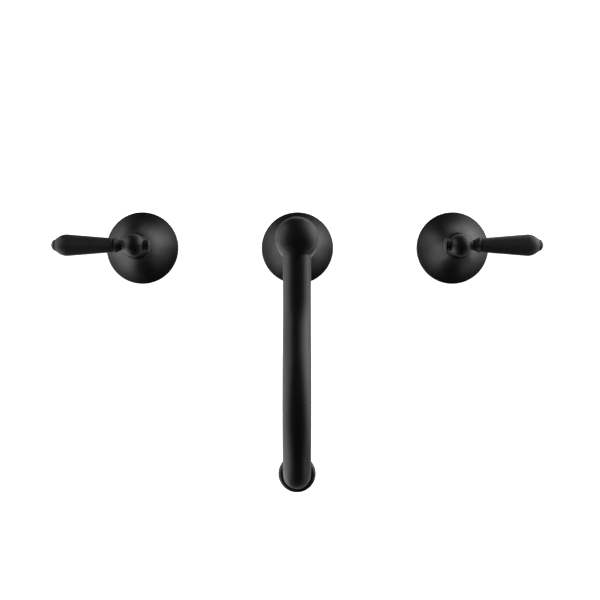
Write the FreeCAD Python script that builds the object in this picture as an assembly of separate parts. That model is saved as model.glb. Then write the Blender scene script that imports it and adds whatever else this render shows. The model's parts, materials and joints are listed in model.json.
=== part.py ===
import FreeCAD, Part
import math
import os

# Deck mounted bath faucet: a column spout between two quarter turn lever valves.
# Millimetres, +Z up. The origin is on the deck's top face, on the spout column's axis.
# The spout reaches towards -Y, the left lever is on -X and the right lever on +X.
# Handle and valve pieces are drawn for the left side, about their own valve axis,
# and the right side is their mirror image.

V = FreeCAD.Vector

# ---- layout ----
VALVE_OFFSET = 127.0         # spout axis to each valve axis
DECK_THICKNESS = 25.0        # the slab that the three shanks are clamped to
PORT_Z = -58.0               # height of the crossover pipes

# ---- bell shaped flanges ----
BELL_R = 29.4
BELL_LIFT = 0.2              # the gasket stands this far proud of the rim
BELL_EDGE_Z = 1.4            # top of the rim's upright edge
BELL_EDGE_ROUND = 1.2
BELL_FOOT_R = 21.9           # inner edge of the foot that presses the gasket
BELL_FOOT_Z = 5.0
BELL_WALL = 1.8
FLARE_LOW = math.radians(30)   # slope of the flare just above the rim
FLARE_HIGH = math.radians(75)  # slope of the flare at the neck
BELL_LIP = 0.4               # rounding of the neck's top edge
NECK_WALL = 1.5
VALVE_NECK_R = 11.6
SPOUT_NECK_R = 12.4
GASKET_R = 27.3
GASKET_THICK = 1.6

# ---- shanks, washers and nuts that clamp the deck ----
SHANK_R = 13.2
RUBBER_WASHER_THICK = 3.0
STEEL_WASHER_THICK = 1.5
WASHER_R = 22.0
NUT_FLATS = 36.0
NUT_THICK = 10.0
THREAD_GAP = 0.05            # clearance of a thread's stand-in cylinder

# ---- valve body ----
SUPPLY_THREAD_R = 10.48      # G 1/2 male thread
SUPPLY_LOW_Z = -95.0
SUPPLY_BORE_R = 6.5
BODY_LOW_Z = -80.0
BODY_R = 16.0
BODY_TOP_Z = -46.0
BARREL_LOW_Z = -43.0
BARREL_TOP_Z = 6.0
CHAMBER_R = 9.2
SEAT_Z = -72.0
PORT_R = 5.0

# ---- ceramic cartridge ----
CARTRIDGE_R = 9.1
CARTRIDGE_TOP_Z = -46.0
CARTRIDGE_BORE_R = 8.1
CARTRIDGE_GUIDE_Z = -55.0
WINDOW_WIDTH = 8.0
WINDOW_HEIGHT = 4.0
SEAT_SEAL_R = 8.1
SEAT_SEAL_THICK = 1.5
DISC_R = 7.8
DISC_THICK = 3.0
DISC_GAP = 0.02
DISC_HOLE_R = 2.2
DISC_HOLE_OFFSET = 4.4
DRIVE_THICK = 3.0
STEM_R = 4.0
STEM_TOP_Z = 39.0
STEM_RUNNING_GAP = 0.05

# ---- bonnet sleeve that holds the cartridge down ----
BONNET_BORE_R = 4.4
BONNET_HEX_FLATS = 20.0
BONNET_HEX_TOP_Z = 12.0
BONNET_COLLAR_R = VALVE_NECK_R - NECK_WALL - 0.1
BONNET_TOP_Z = 23.5
STEM_SEAL_R = 6.4
STEM_SEAL_LOW_Z = 17.0
STEM_SEAL_HIGH_Z = 21.0

# ---- handle hub ----
HUB_LOW_Z = 25.8
HUB_SKIRT_R = 11.4
HUB_BAND_Z = 30.2            # top of the leaning band round the skirt
HUB_BAND_R = 10.7
HUB_SHOULDER_R = 10.2        # foot of the hollow cone between the band and the neck
HUB_SHOULDER_Z = 30.7
HUB_SHOULDER_BEND = 0.6
HUB_CONE_BEND = 14.0
HUB_NECK_R = 5.8
HUB_NECK_Z = 36.2
LEVER_Z = 44.0
BALL_R = 8.85
GRUB_R = 1.75
GRUB_Z = 28.6
GRUB_LENGTH = 4.0

# ---- lever, measured along it from the ball's centre ----
ROD_R = 2.5
ROD_START = -12.4            # the tie rod's end inside the finial cap
ROD_END = 62.7               # its end inside the tip button
SOCKET_DEPTH = 6.8           # seat of the cup and of the finial neck in the ball
CUP_BASE_R = 5.2             # where the cup's fillet leaves the ball
CUP_BASE_AT = 7.2
CUP_FILLET_BEND = 2.2
CUP_NECK_R = 3.9
CUP_NECK_AT = 9.1
CUP_FLARE_BEND = 15.0
CUP_LIP_R = 5.8              # the lip bulges a little beyond this
CUP_LIP_AT = 13.7
CUP_LIP_BEND = 0.62
CUP_END = 14.8
FERRULE_R = 5.3
GRIP_START = 16.3
GRIP_START_R = 5.65
GRIP_START_ROUND = 0.9
GRIP_SWELL_AT = 51.5         # end of the long cone, where the rounded shoulder starts
GRIP_SWELL_R = 8.45
GRIP_SHOULDER_AT = 58.9
GRIP_SHOULDER_R = 6.15
GRIP_SHOULDER_BEND = 11.0
GRIP_END = 61.2
GRIP_END_R = 4.6
TIP_R = 4.35
TIP_RIM = 61.9
TIP_END = 64.3
FINIAL_NECK_R = 4.3
FINIAL_RING_R = 4.9
FINIAL_RING_LOW = 9.1
FINIAL_RING_HIGH = 10.3
FINIAL_RING_BEND = 0.65
FINIAL_START = 11.4
FINIAL_EDGE_R = 4.9
FINIAL_R = 5.4
FINIAL_RIM = 11.9
FINIAL_RIM_BEND = 0.6
FINIAL_END = 13.5

# ---- spout column ----
SPOUT_SPIGOT_R = 8.0
SPOUT_SPIGOT_TOP_Z = 44.0
SPOUT_SPIGOT_SOCKET_Z = 44.3
SHANK_SHOULDER_Z = 8.0
SHANK_LOW_Z = -50.0
SHANK_BORE_R = 5.5
COLUMN_TAIL_R = SPOUT_NECK_R - NECK_WALL - 0.1
COLUMN_TAIL_LOW_Z = 9.0
COLUMN_BEAD_R = 13.8
COLUMN_BEAD_HEIGHT = 5.4
COLUMN_BEAD_SWELL = 1.7      # how far the bead bulges beyond its two flat faces
COLUMN_BEAD_BEND = 3.0
COLUMN_STEP_R = 11.6         # top of the bead, where the waist's hollow starts
COLUMN_WAIST_HEIGHT = 5.0
COLUMN_WAIST_BEND = 8.6
COLUMN_NECK_R = 10.0
COLUMN_NECK_Z = 39.0         # the waist's top, where the vase starts to swell
COLUMN_R = 15.1
BARREL_BOTTOM_Z = 67.0
SPOUT_Z = 128.5              # centre of the ball shaped top, and the spout's first run
WATERWAY_R = 6.5
CAP_NECK_R = 8.6
CAP_LOW_Z = 147.2
CAP_FOOT_R = 11.4
CAP_RIM_Z = 149.0
CAP_RIM_BEND = 1.35
CAP_R = 12.4
CAP_DOME_SLOPE = math.radians(48)
CAP_STUD_R = 4.0
CAP_STUD_LENGTH = 7.0
CAP_STUD_HOLE = 7.5
SPOUT_SCREW_R = 1.75
SPOUT_SCREW_LENGTH = 4.0
O_RING_R = 1.3
O_RING_Z = 40.0

# ---- spout tube: level, up a slope, over a long crest and down into the outlet ----
TUBE_R = 9.75
TUBE_BORE_R = 8.0
TUBE_START = 5.2             # distances are from the column's axis
LEVEL_END = 42.0
RISE_SLOPE = math.radians(30)
RISE_BEND_R = 45.0
RISE_LENGTH = 18.0
CREST_BEND_R = 63.0
DROP_SLOPE = math.radians(51)  # steepest slope of the crest's arc, where the outlet bend starts
SPOUT_REACH = 166.2
TUBE_END_Z = 107.5

# ---- outlet ----
COLLAR_R = 13.35
COLLAR_TOP_R = 11.15         # edge of the flat round the tube
COLLAR_TOP_Z = 112.0
COLLAR_SHOULDER_Z = 109.5    # foot of the sloping shoulder
COLLAR_SHOULDER_BEND = 3.4
COLLAR_BEAD_LOW_Z = 107.6
COLLAR_ROUND = 1.5           # under the bead
COLLAR_SKIRT_R = 11.6
COLLAR_LOW_Z = 103.6
AERATOR_THREAD_R = 10.3
AERATOR_SEAL_BORE_R = 8.4
AERATOR_SEAL_THICK = 1.5
AERATOR_LIP_R = 11.3
AERATOR_LOW_Z = 100.0
AERATOR_BORE_R = 8.9
INSERT_LOW_Z = 101.0
INSERT_TOP_Z = 105.0
INSERT_HOLE_R = 0.6
INSERT_HOLE_STEP = 2.0
INSERT_RINGS = 3

# ---- tee and crossover pipes ----
TEE_R = 16.5
TEE_LOW_Z = -70.0
TEE_TOP_Z = -43.0
BOSS_R = 10.0
BOSS_END = 26.0
PIPE_R = 7.5
PIPE_WALL = 1.0
PIPE_INSERT = 20.0           # how far from the tee's or valve's axis the pipe's end lies
COMPRESSION_NUT_FLATS = 24.0
COMPRESSION_NUT_START = 18.0
COMPRESSION_NUT_END = 32.0
OLIVE_R = 9.6
OLIVE_EDGE_R = 8.7
OLIVE_WIDTH = 2.4

LEFT = -1
RIGHT = 1


class Outline:
    """A closed outline in the half plane of radius and height, turned about Z."""

    def __init__(self, radius, height):
        self.points = [(radius, height)]
        self.edges = []

    def line(self, radius, height):
        start = self.points[-1]
        self.edges.append(Part.makeLine(V(start[0], 0, start[1]), V(radius, 0, height)))
        self.points.append((radius, height))
        return self

    def arc(self, radius, height, bend):
        """Arc to the point with this bend radius; positive bulges to the left of the way there."""
        start = self.points[-1]
        across = radius - start[0]
        along = height - start[1]
        chord = math.hypot(across, along)
        sagitta = abs(bend) - math.sqrt(bend * bend - chord * chord / 4)
        side = math.copysign(sagitta / chord, bend)
        middle = V((radius + start[0]) / 2 - along * side, 0, (height + start[1]) / 2 + across * side)
        ends = (V(start[0], 0, start[1]), V(radius, 0, height))
        self.edges.append(Part.Arc(ends[0], middle, ends[1]).toShape())
        self.points.append((radius, height))
        return self

    def ogee(self, radius, height):
        """Two equal arcs, upright where they start and end: hollow first and then full."""
        start = self.points[-1]
        across = radius - start[0]
        along = height - start[1]
        turn = 2 * math.atan2(across, along)
        bend = along / (2 * math.sin(turn))
        self.arc(start[0] + across / 2, start[1] + along / 2, bend)
        return self.arc(radius, height, -bend)

    def turned(self):
        self.line(*self.points[0])
        face = Part.Face(Part.Wire(self.edges))
        return face.revolve(V(0, 0, 0), V(0, 0, 1), 360)


def upright(radius, low, high, x=0.0, y=0.0):
    return Part.makeCylinder(radius, high - low, V(x, y, low))


def ring(inner, outer, low, high):
    return upright(outer, low, high).cut(upright(inner, low, high))


def along_x(radius, start, end, height):
    return Part.makeCylinder(radius, end - start, V(start, 0, height), V(1, 0, 0))


def along_y(radius, start, end, height):
    return Part.makeCylinder(radius, end - start, V(0, start, height), V(0, 1, 0))


def hexagon(flats, low, high):
    """A hexagonal bar with the corners of both ends turned off, as nuts have."""
    corner = flats / math.sqrt(3)
    turns = [math.radians(60 * i) for i in range(7)]
    outline = Part.makePolygon([V(corner * math.cos(a), corner * math.sin(a), low) for a in turns])
    bar = Part.Face(outline).extrude(V(0, 0, high - low))
    face_r = flats / 2
    drop = (corner - face_r) * math.tan(math.radians(30))
    turned = Outline(0, low).line(face_r, low).line(corner, low + drop)
    turned.line(corner, high - drop).line(face_r, high).line(0, high)
    return bar.common(turned.turned())


def torus_ring(centre_r, section_r, height):
    return Part.makeTorus(centre_r, section_r, V(0, 0, height))


def lever_way(shape):
    """Lay a turned piece along the left lever: its +Z becomes -X at the lever's height."""
    placed = shape.copy()
    placed.rotate(V(0, 0, 0), V(0, 1, 0), -90)
    placed.translate(V(0, 0, LEVER_Z))
    return placed


def finial_way(shape):
    """Lay a turned piece on the ball's other side: its +Z becomes +X at the lever's height."""
    placed = shape.copy()
    placed.rotate(V(0, 0, 0), V(0, 1, 0), 90)
    placed.translate(V(0, 0, LEVER_Z))
    return placed


def at_station(shape, side):
    """Put a piece drawn for the left valve at its station, mirrored on the right."""
    placed = shape if side == LEFT else shape.mirror(V(0, 0, 0), V(1, 0, 0))
    placed = placed.copy()
    placed.translate(V(side * VALVE_OFFSET, 0, 0))
    return placed


# ---- flanges and gaskets ----

RIM_R = BELL_R - BELL_EDGE_ROUND * math.sin(FLARE_LOW)
RIM_Z = BELL_EDGE_Z + BELL_EDGE_ROUND * math.cos(FLARE_LOW)


def flare_bend(neck_r):
    """Radius of the one arc that sweeps a bell's flare from its rim up to its neck."""
    return (RIM_R - neck_r) / (math.sin(FLARE_HIGH) - math.sin(FLARE_LOW))


def bell_neck_z(neck_r):
    return RIM_Z + flare_bend(neck_r) * (math.cos(FLARE_LOW) - math.cos(FLARE_HIGH))


def bell(neck_r):
    """Trumpet flange: upright rim, one hollow sweep up to the neck, thin wall, solid foot."""
    bend = flare_bend(neck_r)
    neck_z = bell_neck_z(neck_r)
    inner = bend + BELL_WALL
    bore_r = neck_r - NECK_WALL
    centre_r = RIM_R + bend * math.sin(FLARE_LOW)
    centre_z = RIM_Z + bend * math.cos(FLARE_LOW)
    bore_z = centre_z - math.sqrt(inner ** 2 - (centre_r - bore_r) ** 2)
    foot_r = centre_r - math.sqrt(inner ** 2 - (centre_z - BELL_FOOT_Z) ** 2)
    outline = Outline(BELL_R, BELL_LIFT).line(BELL_R, BELL_EDGE_Z)
    outline.arc(RIM_R, RIM_Z, -BELL_EDGE_ROUND)
    outline.arc(neck_r, neck_z, bend)
    outline.arc(neck_r - BELL_LIP, neck_z + BELL_LIP, -BELL_LIP)
    outline.line(bore_r, neck_z + BELL_LIP).line(bore_r, bore_z)
    outline.arc(foot_r, BELL_FOOT_Z, -inner)
    outline.line(BELL_FOOT_R, BELL_FOOT_Z).line(BELL_FOOT_R, GASKET_THICK)
    outline.line(GASKET_R + THREAD_GAP, GASKET_THICK).line(GASKET_R + THREAD_GAP, BELL_LIFT)
    return outline.turned()


def gasket():
    return ring(BELL_FOOT_R, GASKET_R, 0, GASKET_THICK)


# ---- what clamps the deck, once under each station ----

def under_deck(depth):
    return -DECK_THICKNESS - depth


def rubber_washer():
    return ring(SHANK_R + THREAD_GAP, WASHER_R, under_deck(RUBBER_WASHER_THICK), under_deck(0))


def steel_washer():
    top = RUBBER_WASHER_THICK
    return ring(SHANK_R + THREAD_GAP, WASHER_R, under_deck(top + STEEL_WASHER_THICK), under_deck(top))


def deck_nut():
    top = RUBBER_WASHER_THICK + STEEL_WASHER_THICK
    nut = hexagon(NUT_FLATS, under_deck(top + NUT_THICK), under_deck(top))
    return nut.cut(upright(SHANK_R + THREAD_GAP, under_deck(top + NUT_THICK), under_deck(top)))


def at_three_stations(shape):
    """Three equal fasteners, one under each station, as separate solids of one group."""
    copies = []
    for x in (-VALVE_OFFSET, 0.0, VALVE_OFFSET):
        copy = shape.copy()
        copy.translate(V(x, 0, 0))
        copies.append(copy)
    return Part.makeCompound(copies)


# ---- valve body and cartridge, all fixed ----

def valve_body():
    """Brass casting: threaded supply tail, fat body with a side boss, threaded barrel."""
    chamfer = 0.8
    outline = Outline(0, SUPPLY_LOW_Z).line(SUPPLY_THREAD_R - chamfer, SUPPLY_LOW_Z)
    outline.line(SUPPLY_THREAD_R, SUPPLY_LOW_Z + chamfer).line(SUPPLY_THREAD_R, BODY_LOW_Z)
    outline.line(BODY_R - chamfer, BODY_LOW_Z).line(BODY_R, BODY_LOW_Z + chamfer)
    outline.line(BODY_R, BODY_TOP_Z).line(SHANK_R, BARREL_LOW_Z)
    outline.line(SHANK_R, BARREL_TOP_Z - chamfer).line(SHANK_R - chamfer, BARREL_TOP_Z)
    body = outline.line(0, BARREL_TOP_Z).turned()
    body = body.fuse(along_x(BOSS_R, 0, BOSS_END, PORT_Z))
    body = body.cut(upright(SUPPLY_BORE_R, SUPPLY_LOW_Z, SEAT_Z))
    body = body.cut(upright(CHAMBER_R, SEAT_Z, BARREL_TOP_Z))
    body = body.cut(along_x(PORT_R, 0, PIPE_INSERT, PORT_Z))
    return body.cut(along_x(PIPE_R + THREAD_GAP, PIPE_INSERT, BOSS_END, PORT_Z))


def seat_seal():
    return ring(SUPPLY_BORE_R, SEAT_SEAL_R, SEAT_Z, SEAT_Z + SEAT_SEAL_THICK)


def disc(low, across_x):
    """Ceramic disc with two round ports; closed when its ports are square to its partner's."""
    plate = upright(DISC_R, low, low + DISC_THICK)
    for sign in (-1, 1):
        offset = sign * DISC_HOLE_OFFSET
        x, y = (offset, 0) if across_x else (0, offset)
        plate = plate.cut(upright(DISC_HOLE_R, low, low + DISC_THICK, x, y))
    return plate


FIXED_DISC_Z = SEAT_Z + SEAT_SEAL_THICK
MOVING_DISC_Z = FIXED_DISC_Z + DISC_THICK + DISC_GAP
DRIVE_Z = MOVING_DISC_Z + DISC_THICK


def fixed_disc():
    return disc(FIXED_DISC_Z, True)


def cartridge_housing():
    """Sleeve round the discs, with two outlet windows and a guide for the stem above them."""
    housing = ring(STEM_R + STEM_RUNNING_GAP, CARTRIDGE_R, FIXED_DISC_Z, CARTRIDGE_TOP_Z)
    housing = housing.cut(upright(CARTRIDGE_BORE_R, FIXED_DISC_Z, CARTRIDGE_GUIDE_Z))
    corner = V(-CARTRIDGE_R, -WINDOW_WIDTH / 2, PORT_Z - WINDOW_HEIGHT / 2)
    return housing.cut(Part.makeBox(2 * CARTRIDGE_R, WINDOW_WIDTH, WINDOW_HEIGHT, corner))


def bonnet_sleeve():
    """Long gland nut: it presses the cartridge down and its collar centres the bell."""
    sleeve = upright(CARTRIDGE_R, CARTRIDGE_TOP_Z, BARREL_TOP_Z)
    sleeve = sleeve.fuse(hexagon(BONNET_HEX_FLATS, BARREL_TOP_Z, BONNET_HEX_TOP_Z))
    sleeve = sleeve.fuse(upright(BONNET_COLLAR_R, BONNET_HEX_TOP_Z, BONNET_TOP_Z))
    sleeve = sleeve.cut(upright(BONNET_BORE_R, CARTRIDGE_TOP_Z, BONNET_TOP_Z))
    return sleeve.cut(upright(STEM_SEAL_R, STEM_SEAL_LOW_Z, STEM_SEAL_HIGH_Z))


def stem_seal():
    return ring(STEM_R + STEM_RUNNING_GAP, STEM_SEAL_R, STEM_SEAL_LOW_Z, STEM_SEAL_HIGH_Z)


# ---- what turns with a handle ----

def moving_disc():
    return disc(MOVING_DISC_Z, False)


def stem():
    """Drive plate on the moving disc, and a long stem up into the hub."""
    plate = upright(DISC_R, DRIVE_Z, DRIVE_Z + DRIVE_THICK)
    for sign in (-1, 1):
        offset = sign * DISC_HOLE_OFFSET
        plate = plate.cut(upright(DISC_HOLE_R, DRIVE_Z, DRIVE_Z + DRIVE_THICK, 0, offset))
    return plate.fuse(upright(STEM_R, DRIVE_Z, STEM_TOP_Z))


def hub():
    """Skirt, waist and ball in one turning, bored for the stem, the tie rod and a grub screw."""
    edge = 0.5
    ball_low_z = LEVER_Z - math.sqrt(BALL_R ** 2 - HUB_NECK_R ** 2)
    outline = Outline(0, HUB_LOW_Z).line(HUB_SKIRT_R - edge, HUB_LOW_Z)
    outline.arc(HUB_SKIRT_R, HUB_LOW_Z + edge, -edge)
    outline.line(HUB_BAND_R, HUB_BAND_Z)
    outline.arc(HUB_SHOULDER_R, HUB_SHOULDER_Z, -HUB_SHOULDER_BEND)
    outline.arc(HUB_NECK_R, HUB_NECK_Z, HUB_CONE_BEND)
    outline.line(HUB_NECK_R, ball_low_z)
    outline.arc(BALL_R, LEVER_Z, -BALL_R)
    outline.arc(0, LEVER_Z + BALL_R, -BALL_R)
    body = outline.turned()
    body = body.cut(upright(STEM_R + THREAD_GAP, HUB_LOW_Z, STEM_TOP_Z))
    body = body.cut(along_x(ROD_R + THREAD_GAP, -BALL_R, BALL_R, LEVER_Z))
    body = body.cut(along_x(CUP_BASE_R + THREAD_GAP, -BALL_R, -SOCKET_DEPTH, LEVER_Z))
    body = body.cut(along_x(FINIAL_NECK_R + THREAD_GAP, SOCKET_DEPTH, BALL_R, LEVER_Z))
    return body.cut(along_y(GRUB_R, 0, HUB_SKIRT_R, GRUB_Z))


def grub_screw(radius, touch_r, height, length):
    """Headless screw against the shaft at radius touch_r, with a hexagonal key socket."""
    screw = along_y(radius, touch_r, touch_r + length, height)
    socket = hexagon(radius, 0, length / 2)
    socket.rotate(V(0, 0, 0), V(1, 0, 0), -90)
    socket.translate(V(0, touch_r + length / 2, height))
    return screw.cut(socket)


def set_screw():
    return grub_screw(GRUB_R - THREAD_GAP, STEM_R, GRUB_Z, GRUB_LENGTH)


def lever_rod():
    """Tie rod from the finial through the ball and the grip to the tip button."""
    return lever_way(upright(ROD_R, ROD_START, ROD_END))


def lever_cup():
    """Waisted socket: a fillet off the ball, then a flare out to the grip, with a rounded lip."""
    bore = ROD_R + THREAD_GAP
    outline = Outline(bore, SOCKET_DEPTH).line(CUP_BASE_R, SOCKET_DEPTH)
    outline.line(CUP_BASE_R, CUP_BASE_AT)
    outline.arc(CUP_NECK_R, CUP_NECK_AT, CUP_FILLET_BEND)
    outline.arc(CUP_LIP_R, CUP_LIP_AT, CUP_FLARE_BEND)
    outline.arc(CUP_LIP_R, CUP_END, -CUP_LIP_BEND)
    return lever_way(outline.line(bore, CUP_END).turned())


def ferrule_ring():
    """Plain ring set back between the cup's lip and the grip, so that it shows as a groove."""
    return lever_way(ring(ROD_R + THREAD_GAP, FERRULE_R, CUP_END, GRIP_START))


def grip():
    """Long cone that swells away from the hub, with a rounded shoulder and a blunt end."""
    bore = ROD_R + THREAD_GAP
    start_round = GRIP_START_ROUND
    edge = 0.5
    outline = Outline(bore, GRIP_START).line(GRIP_START_R - start_round, GRIP_START)
    outline.arc(GRIP_START_R, GRIP_START + start_round, -start_round)
    outline.line(GRIP_SWELL_R, GRIP_SWELL_AT)
    outline.arc(GRIP_SHOULDER_R, GRIP_SHOULDER_AT, -GRIP_SHOULDER_BEND)
    outline.line(GRIP_END_R + edge / 2, GRIP_END - edge)
    outline.arc(GRIP_END_R - edge / 2, GRIP_END, -edge)
    return lever_way(outline.line(bore, GRIP_END).turned())


def tip_button():
    """Domed button that closes the grip and takes the end of the tie rod."""
    rise = TIP_END - TIP_RIM
    dome_r = (TIP_R ** 2 + rise ** 2) / (2 * rise)
    outline = Outline(0, GRIP_END).line(TIP_R, GRIP_END).line(TIP_R, TIP_RIM)
    button = outline.arc(0, TIP_END, -dome_r).turned()
    return lever_way(button.cut(upright(ROD_R + THREAD_GAP, GRIP_END, ROD_END)))


def finial_neck():
    """Short waist with one thin ring between the ball and the finial cap."""
    bore = ROD_R + THREAD_GAP
    ring_middle = (FINIAL_RING_LOW + FINIAL_RING_HIGH) / 2
    outline = Outline(bore, SOCKET_DEPTH).line(FINIAL_NECK_R, SOCKET_DEPTH)
    outline.line(FINIAL_NECK_R, FINIAL_RING_LOW)
    outline.arc(FINIAL_RING_R, ring_middle, -FINIAL_RING_BEND)
    outline.arc(FINIAL_NECK_R, FINIAL_RING_HIGH, -FINIAL_RING_BEND)
    outline.line(FINIAL_NECK_R, FINIAL_START)
    return finial_way(outline.line(bore, FINIAL_START).turned())


def finial_cap():
    """Domed end of the lever, opposite the grip, screwed on to the tie rod."""
    rise = FINIAL_END - FINIAL_RIM
    dome_r = (FINIAL_R ** 2 + rise ** 2) / (2 * rise)
    outline = Outline(0, FINIAL_START).line(FINIAL_EDGE_R, FINIAL_START)
    outline.arc(FINIAL_R, FINIAL_RIM, -FINIAL_RIM_BEND)
    cap = outline.arc(0, FINIAL_END, -dome_r).turned()
    return finial_way(cap.cut(upright(ROD_R + THREAD_GAP, FINIAL_START, -ROD_START)))


# ---- spout ----

def spout_shank():
    """Threaded shank through the deck, with a smooth spigot that the column slips over."""
    chamfer = 0.8
    outline = Outline(SHANK_BORE_R, SHANK_LOW_Z).line(SHANK_R - chamfer, SHANK_LOW_Z)
    outline.line(SHANK_R, SHANK_LOW_Z + chamfer).line(SHANK_R, SHANK_SHOULDER_Z)
    outline.line(SPOUT_SPIGOT_R, SHANK_SHOULDER_Z)
    outline.line(SPOUT_SPIGOT_R, SPOUT_SPIGOT_TOP_Z - chamfer)
    outline.line(SPOUT_SPIGOT_R - chamfer, SPOUT_SPIGOT_TOP_Z)
    shank = outline.line(SHANK_BORE_R, SPOUT_SPIGOT_TOP_Z).turned()
    return shank.cut(torus_ring(SPOUT_SPIGOT_R - O_RING_R / 2, O_RING_R, O_RING_Z))


def spout_o_ring():
    """Round seal in the spigot's groove, squeezed flat where it meets the column's bore."""
    seal = torus_ring(SPOUT_SPIGOT_R - O_RING_R / 2, O_RING_R, O_RING_Z)
    room = upright(SPOUT_SPIGOT_R + THREAD_GAP, O_RING_Z - O_RING_R, O_RING_Z + O_RING_R)
    return seal.common(room)


COLUMN_SEAT_Z = bell_neck_z(SPOUT_NECK_R) + BELL_LIP
SPOUT_SCREW_Z = COLUMN_SEAT_Z + COLUMN_BEAD_HEIGHT / 2


def spout_column():
    """Turned column: tail, base bead, waist, swelling vase, straight barrel and round top."""
    bead_side = COLUMN_BEAD_R - COLUMN_BEAD_SWELL
    bead_high = COLUMN_SEAT_Z + COLUMN_BEAD_HEIGHT
    top_neck_z = SPOUT_Z + math.sqrt(COLUMN_R ** 2 - CAP_NECK_R ** 2)
    outline = Outline(0, COLUMN_TAIL_LOW_Z).line(COLUMN_TAIL_R, COLUMN_TAIL_LOW_Z)
    outline.line(COLUMN_TAIL_R, COLUMN_SEAT_Z).line(bead_side, COLUMN_SEAT_Z)
    outline.arc(bead_side, bead_high, -COLUMN_BEAD_BEND)
    outline.line(COLUMN_STEP_R, bead_high)
    outline.arc(COLUMN_NECK_R, bead_high + COLUMN_WAIST_HEIGHT, COLUMN_WAIST_BEND)
    outline.line(COLUMN_NECK_R, COLUMN_NECK_Z)
    outline.ogee(COLUMN_R, BARREL_BOTTOM_Z)
    outline.line(COLUMN_R, SPOUT_Z)
    outline.arc(CAP_NECK_R, top_neck_z, -COLUMN_R)
    outline.line(CAP_NECK_R, CAP_LOW_Z)
    column = outline.line(0, CAP_LOW_Z).turned()
    socket_z = SPOUT_SPIGOT_SOCKET_Z
    column = column.cut(upright(SPOUT_SPIGOT_R + THREAD_GAP, COLUMN_TAIL_LOW_Z, socket_z))
    column = column.cut(upright(WATERWAY_R, socket_z, SPOUT_Z + WATERWAY_R))
    column = column.cut(along_y(TUBE_R + THREAD_GAP, -2 * COLUMN_R, -TUBE_START, SPOUT_Z))
    column = column.cut(along_y(WATERWAY_R, -TUBE_START, 0, SPOUT_Z))
    column = column.cut(upright(CAP_STUD_R + THREAD_GAP, CAP_LOW_Z - CAP_STUD_HOLE, CAP_LOW_Z))
    return column.cut(along_y(SPOUT_SCREW_R, 0, COLUMN_BEAD_R, SPOUT_SCREW_Z))


def spout_set_screw():
    return grub_screw(SPOUT_SCREW_R - THREAD_GAP, SPOUT_SPIGOT_R, SPOUT_SCREW_Z, SPOUT_SCREW_LENGTH)


def spout_cap():
    """Shallow domed cap with a rounded rim, screwed into the column's top by a stud."""
    dome_r = CAP_R / math.sin(CAP_DOME_SLOPE)
    top = CAP_RIM_Z + dome_r * (1 - math.cos(CAP_DOME_SLOPE))
    outline = Outline(0, CAP_LOW_Z).line(CAP_FOOT_R, CAP_LOW_Z)
    outline.arc(CAP_R, CAP_RIM_Z, -CAP_RIM_BEND)
    cap = outline.arc(0, top, -dome_r).turned()
    return cap.fuse(upright(CAP_STUD_R, CAP_LOW_Z - CAP_STUD_LENGTH, CAP_LOW_Z))


class Course:
    """A centre line in the plane of the column and the outlet, drawn forwards from its start."""

    def __init__(self, away, height):
        self.away = away
        self.height = height
        self.slope = 0.0
        self.edges = []

    def point(self):
        return V(0, -self.away, self.height)

    def straight(self, length):
        start = self.point()
        self.away += length * math.cos(self.slope)
        self.height += length * math.sin(self.slope)
        self.edges.append(Part.makeLine(start, self.point()))

    def bend(self, slope, bend_r):
        """Turn to this slope along an arc of this radius."""
        side = math.copysign(bend_r, slope - self.slope)
        start = self.point()
        centre_away = self.away - side * math.sin(self.slope)
        centre_height = self.height + side * math.cos(self.slope)
        passed = []
        for angle in ((self.slope + slope) / 2, slope):
            self.away = centre_away + side * math.sin(angle)
            self.height = centre_height - side * math.cos(angle)
            passed.append(self.point())
        self.slope = slope
        self.edges.append(Part.Arc(start, *passed).toShape())


def tube_path():
    """The outlet bend's radius is what brings the end upright exactly at the spout's reach."""
    course = Course(TUBE_START, SPOUT_Z)
    course.straight(LEVEL_END - TUBE_START)
    course.bend(RISE_SLOPE, RISE_BEND_R)
    course.straight(RISE_LENGTH)
    course.bend(-DROP_SLOPE, CREST_BEND_R)
    course.bend(-math.pi / 2, (SPOUT_REACH - course.away) / (1 - math.sin(DROP_SLOPE)))
    course.straight(course.height - TUBE_END_Z)
    return Part.Wire(course.edges)


def swept_rod(path, radius):
    start = path.OrderedVertexes[0].Point
    profile = Part.Wire(Part.makeCircle(radius, start, V(0, -1, 0)))
    return path.makePipeShell([profile], True, True)


def spout_tube():
    path = tube_path()
    return swept_rod(path, TUBE_R).cut(swept_rod(path, TUBE_BORE_R))


def at_outlet(shape):
    placed = shape.copy()
    placed.translate(V(0, -SPOUT_REACH, 0))
    return placed


def outlet_collar():
    """Bead with a sloping shoulder round the tube's end, and a plain skirt that takes the aerator."""
    bore = TUBE_R + THREAD_GAP
    thread = AERATOR_THREAD_R + THREAD_GAP
    outline = Outline(bore, COLLAR_TOP_Z).line(bore, TUBE_END_Z).line(thread, TUBE_END_Z)
    outline.line(thread, COLLAR_LOW_Z).line(COLLAR_SKIRT_R, COLLAR_LOW_Z)
    outline.line(COLLAR_SKIRT_R, COLLAR_BEAD_LOW_Z).line(COLLAR_R - COLLAR_ROUND, COLLAR_BEAD_LOW_Z)
    outline.arc(COLLAR_R, COLLAR_BEAD_LOW_Z + COLLAR_ROUND, -COLLAR_ROUND)
    outline.line(COLLAR_R, COLLAR_SHOULDER_Z)
    outline.arc(COLLAR_TOP_R, COLLAR_TOP_Z, -COLLAR_SHOULDER_BEND)
    return at_outlet(outline.turned())


def aerator_seal():
    low = TUBE_END_Z - AERATOR_SEAL_THICK
    return at_outlet(ring(AERATOR_SEAL_BORE_R, AERATOR_THREAD_R, low, TUBE_END_Z))


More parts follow.
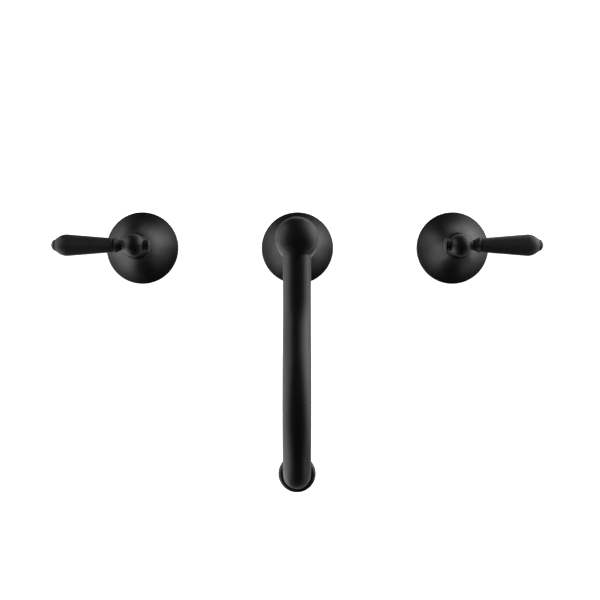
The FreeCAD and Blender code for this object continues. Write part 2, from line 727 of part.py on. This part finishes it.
def aerator_housing():
    top = TUBE_END_Z - AERATOR_SEAL_THICK
    edge = 0.6
    outline = Outline(AERATOR_BORE_R, AERATOR_LOW_Z).line(AERATOR_LIP_R - edge, AERATOR_LOW_Z)
    outline.arc(AERATOR_LIP_R, AERATOR_LOW_Z + edge, -edge)
    outline.line(AERATOR_LIP_R, COLLAR_LOW_Z - THREAD_GAP)
    outline.line(AERATOR_THREAD_R, COLLAR_LOW_Z - THREAD_GAP).line(AERATOR_THREAD_R, top)
    return at_outlet(outline.line(AERATOR_BORE_R, top).turned())


def aerator_insert():
    """Perforated disc: one hole in the middle and rings of six, twelve and eighteen."""
    plate = upright(AERATOR_BORE_R - THREAD_GAP, INSERT_LOW_Z, INSERT_TOP_Z)
    holes = [upright(INSERT_HOLE_R, INSERT_LOW_Z, INSERT_TOP_Z)]
    for number in range(1, INSERT_RINGS + 1):
        for step in range(6 * number):
            turn = math.radians(60 * step / number)
            x = number * INSERT_HOLE_STEP * math.cos(turn)
            y = number * INSERT_HOLE_STEP * math.sin(turn)
            holes.append(upright(INSERT_HOLE_R, INSERT_LOW_Z, INSERT_TOP_Z, x, y))
    return at_outlet(plate.cut(Part.makeCompound(holes)))


# ---- crossover from both valves to the spout ----

def spout_tee():
    """Brass tee under the spout's shank, with a threaded boss towards each valve."""
    tee = upright(TEE_R, TEE_LOW_Z, TEE_TOP_Z)
    tee = tee.fuse(along_x(BOSS_R, -BOSS_END, BOSS_END, PORT_Z))
    tee = tee.cut(upright(SHANK_R + THREAD_GAP, SHANK_LOW_Z, TEE_TOP_Z))
    tee = tee.cut(upright(SHANK_BORE_R, PORT_Z, SHANK_LOW_Z))
    tee = tee.cut(along_x(PORT_R, -PIPE_INSERT, PIPE_INSERT, PORT_Z))
    for start, end in ((-BOSS_END, -PIPE_INSERT), (PIPE_INSERT, BOSS_END)):
        tee = tee.cut(along_x(PIPE_R + THREAD_GAP, start, end, PORT_Z))
    return tee


def crossover_pipe(side):
    start = PIPE_INSERT
    end = VALVE_OFFSET - PIPE_INSERT
    pipe = along_x(PIPE_R, start, end, PORT_Z).cut(along_x(PIPE_R - PIPE_WALL, start, end, PORT_Z))
    return pipe if side == RIGHT else pipe.mirror(V(0, 0, 0), V(1, 0, 0))


def compression_nut():
    nut = hexagon(COMPRESSION_NUT_FLATS, COMPRESSION_NUT_START, COMPRESSION_NUT_END)
    nut = nut.cut(upright(PIPE_R + THREAD_GAP, COMPRESSION_NUT_START, COMPRESSION_NUT_END))
    pocket = BOSS_END + OLIVE_WIDTH
    nut = nut.cut(upright(BOSS_R + THREAD_GAP, COMPRESSION_NUT_START, pocket))
    nut.rotate(V(0, 0, 0), V(0, 1, 0), 90)
    nut.translate(V(0, 0, PORT_Z))
    return nut


def compression_olive():
    """Soft brass ring that the nut squeezes on to the pipe."""
    middle = OLIVE_WIDTH / 2
    outline = Outline(PIPE_R + THREAD_GAP, 0).line(OLIVE_EDGE_R, 0).line(OLIVE_R, middle)
    olive = outline.line(OLIVE_EDGE_R, OLIVE_WIDTH).line(PIPE_R + THREAD_GAP, OLIVE_WIDTH).turned()
    olive.rotate(V(0, 0, 0), V(0, 1, 0), 90)
    olive.translate(V(BOSS_END, 0, PORT_Z))
    return olive


def at_four_joints(shape):
    """The same fitting at both ends of both crossover pipes, as separate solids of one group."""
    copies = []
    for side in (LEFT, RIGHT):
        outward = shape.copy() if side == RIGHT else shape.mirror(V(0, 0, 0), V(1, 0, 0))
        inward = shape.copy() if side == LEFT else shape.mirror(V(0, 0, 0), V(1, 0, 0))
        inward.translate(V(side * VALVE_OFFSET, 0, 0))
        copies += [outward, inward]
    return Part.makeCompound(copies)


# ---- the whole faucet ----

PER_VALVE = {
    "flange": lambda: bell(VALVE_NECK_R),
    "gasket": gasket,
    "valve_body": valve_body,
    "seat_seal": seat_seal,
    "fixed_disc": fixed_disc,
    "cartridge_housing": cartridge_housing,
    "bonnet_sleeve": bonnet_sleeve,
    "stem_seal": stem_seal,
    "moving_disc": moving_disc,
    "stem": stem,
    "hub": hub,
    "set_screw": set_screw,
    "lever_rod": lever_rod,
    "lever_cup": lever_cup,
    "ferrule_ring": ferrule_ring,
    "grip": grip,
    "tip_button": tip_button,
    "finial_neck": finial_neck,
    "finial_cap": finial_cap,
}

MIDDLE = {
    "spout_flange": lambda: bell(SPOUT_NECK_R),
    "spout_gasket": gasket,
    "spout_shank": spout_shank,
    "spout_o_ring": spout_o_ring,
    "spout_column": spout_column,
    "spout_set_screw": spout_set_screw,
    "spout_cap": spout_cap,
    "spout_tube": spout_tube,
    "outlet_collar": outlet_collar,
    "aerator_seal": aerator_seal,
    "aerator_housing": aerator_housing,
    "aerator_insert": aerator_insert,
    "spout_tee": spout_tee,
    "left_crossover_pipe": lambda: crossover_pipe(LEFT),
    "right_crossover_pipe": lambda: crossover_pipe(RIGHT),
    "compression_nuts": lambda: at_four_joints(compression_nut()),
    "compression_olives": lambda: at_four_joints(compression_olive()),
    "deck_rubber_washers": lambda: at_three_stations(rubber_washer()),
    "deck_steel_washers": lambda: at_three_stations(steel_washer()),
    "deck_nuts": lambda: at_three_stations(deck_nut()),
}


def build():
    os.makedirs("parts", exist_ok=True)
    shapes = {name: make() for name, make in MIDDLE.items()}
    for name, make in PER_VALVE.items():
        piece = make()
        shapes["left_" + name] = at_station(piece, LEFT)
        shapes["right_" + name] = at_station(piece, RIGHT)
    for name, shape in shapes.items():
        shape.exportStep("parts/" + name + ".step")


build()
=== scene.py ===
import json
import math

import bmesh
import bpy
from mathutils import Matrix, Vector

# Deck mounted bath faucet: finishes for every CAD node, and the studio.
# Metres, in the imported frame: +Z up, the origin on the deck under the spout column.

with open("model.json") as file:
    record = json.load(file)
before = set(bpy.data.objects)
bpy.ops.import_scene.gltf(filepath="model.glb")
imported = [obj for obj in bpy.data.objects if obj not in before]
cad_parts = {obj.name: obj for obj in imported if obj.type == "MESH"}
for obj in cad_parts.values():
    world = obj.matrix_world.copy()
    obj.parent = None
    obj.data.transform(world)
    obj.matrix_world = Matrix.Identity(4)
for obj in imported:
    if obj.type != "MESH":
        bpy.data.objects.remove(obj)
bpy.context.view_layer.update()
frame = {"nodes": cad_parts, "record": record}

MM = 0.001

# ---- camera: straight above the deck, a little in front of the flanges ----
CAMERA_HEIGHT = 0.8213
CAMERA_RIGHT = 0.0021
CAMERA_FRONT = 0.0426
LENS_MM = 60.0
SENSOR_MM = 36.0

# ---- studio ----
STUDIO_RADIUS = 1.7          # from the spout column to each softbox
LARGE_BOX = 2.0              # sides of the softboxes
SMALL_BOX = 1.2
SKY_GLOW = 0.02              # dim dark ceiling
FLOOR_GLOW = 0.10            # what the pale floor sends up, growing towards straight down
NADIR_GLOW = 1.1             # the floor close under the faucet, seen only in grazing edges
NADIR_POWER = 8.0
UNDER_DECK_Z = -20 * MM      # pieces that reach lower than this are behind the deck
FLOOR_SIZE = 8.0
FLOOR_DROP = 0.05 * MM       # keeps the floor just under the gaskets
BACKDROP_RADIUS = 20.0
WHITE_GLOW = 0.93            # what the floor shows in full shadow


# ---- finishes ----

class Finish:
    """A Principled material, with short ways to add the patterns that drive it."""

    def __init__(self, name, roughness, metallic=0.0):
        self.material = bpy.data.materials.new(name)
        self.material.use_nodes = True
        self.tree = self.material.node_tree
        self.shader = self.tree.nodes["Principled BSDF"]
        self.shader.inputs["Metallic"].default_value = metallic
        self.shader.inputs["Roughness"].default_value = roughness
        self.place = self.tree.nodes.new("ShaderNodeTexCoord").outputs["Object"]

    def link(self, output, socket):
        self.tree.links.new(output, socket)

    def stretched(self, x, y, z):
        """The place with each axis scaled, so that a pattern becomes streaks along the small ones."""
        mapping = self.tree.nodes.new("ShaderNodeMapping")
        mapping.inputs["Scale"].default_value = (x, y, z)
        self.link(self.place, mapping.inputs["Vector"])
        return mapping.outputs["Vector"]

    def noise(self, grain, detail=2.0, place=None):
        """Noise whose grains are about this size, from 0 to 1."""
        node = self.tree.nodes.new("ShaderNodeTexNoise")
        node.inputs["Scale"].default_value = 1.0 / grain
        node.inputs["Detail"].default_value = detail
        self.link(place or self.place, node.inputs["Vector"])
        return node.outputs["Fac"]

    def spread(self, pattern, low, high):
        """The middle half of a noise pattern stretched over low to high."""
        node = self.tree.nodes.new("ShaderNodeMapRange")
        node.inputs["From Min"].default_value = 0.3
        node.inputs["From Max"].default_value = 0.7
        node.inputs["To Min"].default_value = low
        node.inputs["To Max"].default_value = high
        self.link(pattern, node.inputs["Value"])
        return node.outputs["Result"]

    def colour(self, pattern, dark, light):
        node = self.tree.nodes.new("ShaderNodeMix")
        node.data_type = "RGBA"
        node.inputs["A"].default_value = (*dark, 1.0)
        node.inputs["B"].default_value = (*light, 1.0)
        self.link(self.spread(pattern, 0.0, 1.0), node.inputs["Factor"])
        self.link(node.outputs["Result"], self.shader.inputs["Base Color"])

    def roughness(self, pattern, low, high):
        self.link(self.spread(pattern, low, high), self.shader.inputs["Roughness"])

    def bump(self, pattern, height):
        """Relief of this height in metres; calls add up."""
        node = self.tree.nodes.new("ShaderNodeBump")
        node.inputs["Strength"].default_value = 1.0
        node.inputs["Distance"].default_value = height
        self.link(pattern, node.inputs["Height"])
        normal = self.shader.inputs["Normal"]
        if normal.is_linked:
            self.link(normal.links[0].from_socket, node.inputs["Normal"])
        self.link(node.outputs["Normal"], normal)


def black_coat():
    """Satin black coating, baked on: slightly clouded, with a fine orange peel."""
    finish = Finish("satin_black_coat", 0.45)
    cloud = finish.noise(22 * MM, detail=3.0)
    peel = finish.noise(0.9 * MM, detail=2.0)
    grain = finish.noise(0.16 * MM, detail=1.0)
    finish.colour(cloud, (0.0009, 0.0009, 0.0009), (0.0016, 0.0016, 0.0016))
    finish.roughness(grain, 0.41, 0.47)
    finish.bump(peel, 0.003 * MM)
    finish.bump(grain, 0.0015 * MM)
    return finish.material


def grip_black():
    """Black grip: a greyer base than the coated metal's, a little rougher, with a fine pebble."""
    finish = Finish("matte_black_grip", 0.5)
    cloud = finish.noise(15 * MM, detail=3.0)
    pebble = finish.noise(0.35 * MM, detail=2.0)
    finish.colour(cloud, (0.0055, 0.0055, 0.0056), (0.0080, 0.0080, 0.0082))
    finish.roughness(pebble, 0.45, 0.53)
    finish.bump(pebble, 0.004 * MM)
    return finish.material


def turned_metal(name, dark, light, smooth, rough, streaks):
    """Bare metal with cutting or drawing marks that run along the small stretch axes."""
    finish = Finish(name, rough, metallic=1.0)
    cloud = finish.noise(9 * MM, detail=4.0)
    marks = finish.noise(1.0, detail=3.0, place=finish.stretched(*streaks))
    spots = finish.noise(0.5 * MM, detail=2.0)
    finish.colour(cloud, dark, light)
    finish.roughness(marks, smooth, rough)
    finish.bump(marks, 0.006 * MM)
    finish.bump(spots, 0.002 * MM)
    return finish.material


def raw_brass():
    """Turned brass: rings round the upright axis, duller where it has begun to tarnish."""
    return turned_metal(
        "raw_brass", (0.50, 0.34, 0.13), (0.66, 0.48, 0.21), 0.26, 0.42, (60, 60, 4000)
    )


def painted_shade_brass():
    """Turned brass painted near black: painted shade for the stems in the slit under their hubs."""
    return turned_metal(
        "painted_shade_brass", (0.010, 0.008, 0.006), (0.020, 0.016, 0.011), 0.45, 0.60, (60, 60, 4000)
    )


def copper():
    """Drawn copper tube: streaks along X, as the crossover pipes lie."""
    return turned_metal(
        "drawn_copper", (0.62, 0.27, 0.15), (0.78, 0.42, 0.28), 0.22, 0.38, (90, 4000, 4000)
    )


def steel():
    """Pressed stainless washers: a flat grain along Y."""
    return turned_metal(
        "stainless_steel", (0.42, 0.42, 0.43), (0.56, 0.56, 0.57), 0.24, 0.36, (5000, 120, 900)
    )


def rubber():
    """Moulded black rubber with a dusty bloom."""
    finish = Finish("black_rubber", 0.8)
    bloom = finish.noise(6 * MM, detail=4.0)
    pores = finish.noise(0.25 * MM, detail=2.0)
    finish.colour(bloom, (0.014, 0.014, 0.014), (0.030, 0.030, 0.031))
    finish.roughness(bloom, 0.72, 0.88)
    finish.bump(pores, 0.012 * MM)
    return finish.material


def ceramic():
    """Polished alumina disc, faintly mottled."""
    finish = Finish("polished_ceramic", 0.15)
    mottle = finish.noise(1.5 * MM, detail=4.0)
    finish.colour(mottle, (0.74, 0.72, 0.67), (0.84, 0.83, 0.79))
    finish.roughness(mottle, 0.10, 0.20)
    finish.shader.inputs["Coat Weight"].default_value = 0.25
    return finish.material


def aerator_plastic():
    """Dark grey moulded plastic with a spark eroded texture."""
    finish = Finish("aerator_plastic", 0.5)
    flow = finish.noise(4 * MM, detail=3.0)
    texture = finish.noise(0.12 * MM, detail=2.0)
    finish.colour(flow, (0.060, 0.060, 0.064), (0.085, 0.085, 0.090))
    finish.roughness(texture, 0.42, 0.56)
    finish.bump(texture, 0.005 * MM)
    return finish.material


def assign_finishes():
    """Give each CAD node the finish of its material slot, the stems a brass painted near black as
    shade.
    """
    finishes = {
        "black_coat": black_coat(),
        "grip_black": grip_black(),
        "raw_brass": raw_brass(),
        "copper": copper(),
        "steel": steel(),
        "rubber": rubber(),
        "ceramic": ceramic(),
        "aerator_plastic": aerator_plastic(),
    }
    for part in frame["record"]["subparts"]:
        mesh = frame["nodes"][part["node"]].data
        mesh.materials.clear()
        mesh.materials.append(finishes[part["material_slot"]])
    # painted shade: the stems show in the slit under the hubs, so their brass is painted near black
    dark = painted_shade_brass()
    for name in ("left_stem", "right_stem"):
        frame["nodes"][name].data.materials[0] = dark


def keep_out_of_reflections():
    """The deck hides what is under it from the coat above, so no reflection shows those pieces."""
    for node in frame["nodes"].values():
        if min(corner[2] for corner in node.bound_box) < UNDER_DECK_Z:
            node.visible_glossy = False
            node.visible_diffuse = False


# ---- studio ----

def glow_material(name, strength, diffuse):
    """White that glows by itself, plus a matte part that takes light and shadow."""
    material = bpy.data.materials.new(name)
    material.use_nodes = True
    shader = material.node_tree.nodes["Principled BSDF"]
    shader.inputs["Base Color"].default_value = (diffuse, diffuse, diffuse, 1.0)
    shader.inputs["Roughness"].default_value = 1.0
    shader.inputs["Specular IOR Level"].default_value = 0.0
    shader.inputs["Emission Color"].default_value = (1.0, 1.0, 1.0, 1.0)
    shader.inputs["Emission Strength"].default_value = strength
    return material


def add_stage(name, mesh, material):
    """A piece of the studio that only the camera sees, so it lights nothing."""
    piece = bpy.data.objects.new(name, mesh)
    bpy.context.scene.collection.objects.link(piece)
    mesh.materials.append(material)
    piece.visible_diffuse = False
    piece.visible_glossy = False
    piece.visible_transmission = False
    piece.visible_shadow = False
    return piece


def add_floor():
    """The deck's top face, wide and pale."""
    mesh = bpy.data.meshes.new("floor")
    half = FLOOR_SIZE / 2
    corners = [(-half, -half), (half, -half), (half, half), (-half, half)]
    mesh.from_pydata([(x, y, -FLOOR_DROP) for x, y in corners], [], [(0, 1, 2, 3)])
    add_stage("floor", mesh, glow_material("pale_floor", WHITE_GLOW, 0.8))


def add_backdrop():
    """A white ball round the whole studio."""
    mesh = bpy.data.meshes.new("backdrop")
    ball = bmesh.new()
    bmesh.ops.create_icosphere(ball, subdivisions=4, radius=BACKDROP_RADIUS)
    ball.to_mesh(mesh)
    ball.free()
    add_stage("backdrop", mesh, glow_material("pale_backdrop", 1.0, 0.0))


def direction(azimuth, elevation):
    """Unit vector; azimuth runs from +X towards +Y, in degrees."""
    a, e = math.radians(azimuth), math.radians(elevation)
    return Vector((math.cos(a) * math.cos(e), math.sin(a) * math.cos(e), math.sin(e)))


def softbox(name, azimuth, elevation, size, watts):
    """A square area light that faces the spout column, unseen by the camera."""
    data = bpy.data.lights.new(name, "AREA")
    data.shape = "SQUARE"
    data.size = size
    data.energy = watts
    lamp = bpy.data.objects.new(name, data)
    bpy.context.scene.collection.objects.link(lamp)
    away = direction(azimuth, elevation)
    lamp.location = away * STUDIO_RADIUS
    lamp.rotation_mode = "QUATERNION"
    lamp.rotation_quaternion = away.to_track_quat("Z", "Y")
    lamp.visible_camera = False
    return lamp


def add_lights():
    """Two large softboxes on each side of the deck, small ones in front and behind, and one above."""
    softbox("right_back_box", 30, 5, LARGE_BOX, 19)
    softbox("right_box", 10, -12, LARGE_BOX, 18.5)
    softbox("left_box", 200, -30, LARGE_BOX, 14)
    softbox("left_back_box", 165, 5, LARGE_BOX, 19)
    softbox("left_front_box", 222, 0, SMALL_BOX, 5.2)
    softbox("right_front_box", 320, -10, SMALL_BOX, 2.4)
    softbox("back_box", 80, -25, SMALL_BOX, 2.3)
    softbox("low_right_box", 55, -25, SMALL_BOX, 3.9)
    overhead = softbox("overhead_box", 90, 80, SMALL_BOX, 26)
    overhead.visible_glossy = False    # it fills the matte grips but leaves no mirror image


def add_ambient():
    """Soft light from everywhere else: dim above the horizon, growing brighter straight down."""
    world = bpy.data.worlds.new("studio")
    bpy.context.scene.world = world
    world.use_nodes = True
    nodes, links = world.node_tree.nodes, world.node_tree.links

    def combined(operation, first, second):
        node = nodes.new("ShaderNodeMath")
        node.operation = operation
        links.new(first, node.inputs[0])
        if isinstance(second, float):
            node.inputs[1].default_value = second
        else:
            links.new(second, node.inputs[1])
        return node.outputs["Value"]

    heading = nodes.new("ShaderNodeSeparateXYZ")
    links.new(nodes.new("ShaderNodeTexCoord").outputs["Generated"], heading.inputs["Vector"])
    down = combined("MAXIMUM", combined("MULTIPLY", heading.outputs["Z"], -1.0), 0.0)
    floor = combined("MULTIPLY", combined("POWER", down, 2.0), FLOOR_GLOW)
    nadir = combined("MULTIPLY", combined("POWER", down, NADIR_POWER), NADIR_GLOW)
    glow = combined("ADD", combined("ADD", floor, nadir), SKY_GLOW)
    background = nodes["Background"]
    background.inputs["Color"].default_value = (1.0, 1.0, 1.0, 1.0)
    links.new(glow, background.inputs["Strength"])


def add_camera():
    data = bpy.data.cameras.new("camera")
    data.lens = LENS_MM
    data.sensor_width = SENSOR_MM
    camera = bpy.data.objects.new("camera", data)
    bpy.context.scene.collection.objects.link(camera)
    camera.location = (CAMERA_RIGHT, -CAMERA_FRONT, CAMERA_HEIGHT)
    bpy.context.scene.camera = camera
    bpy.context.scene.view_settings.view_transform = "Standard"


add_camera()
assign_finishes()
keep_out_of_reflections()
add_floor()
add_backdrop()
add_lights()
add_ambient()
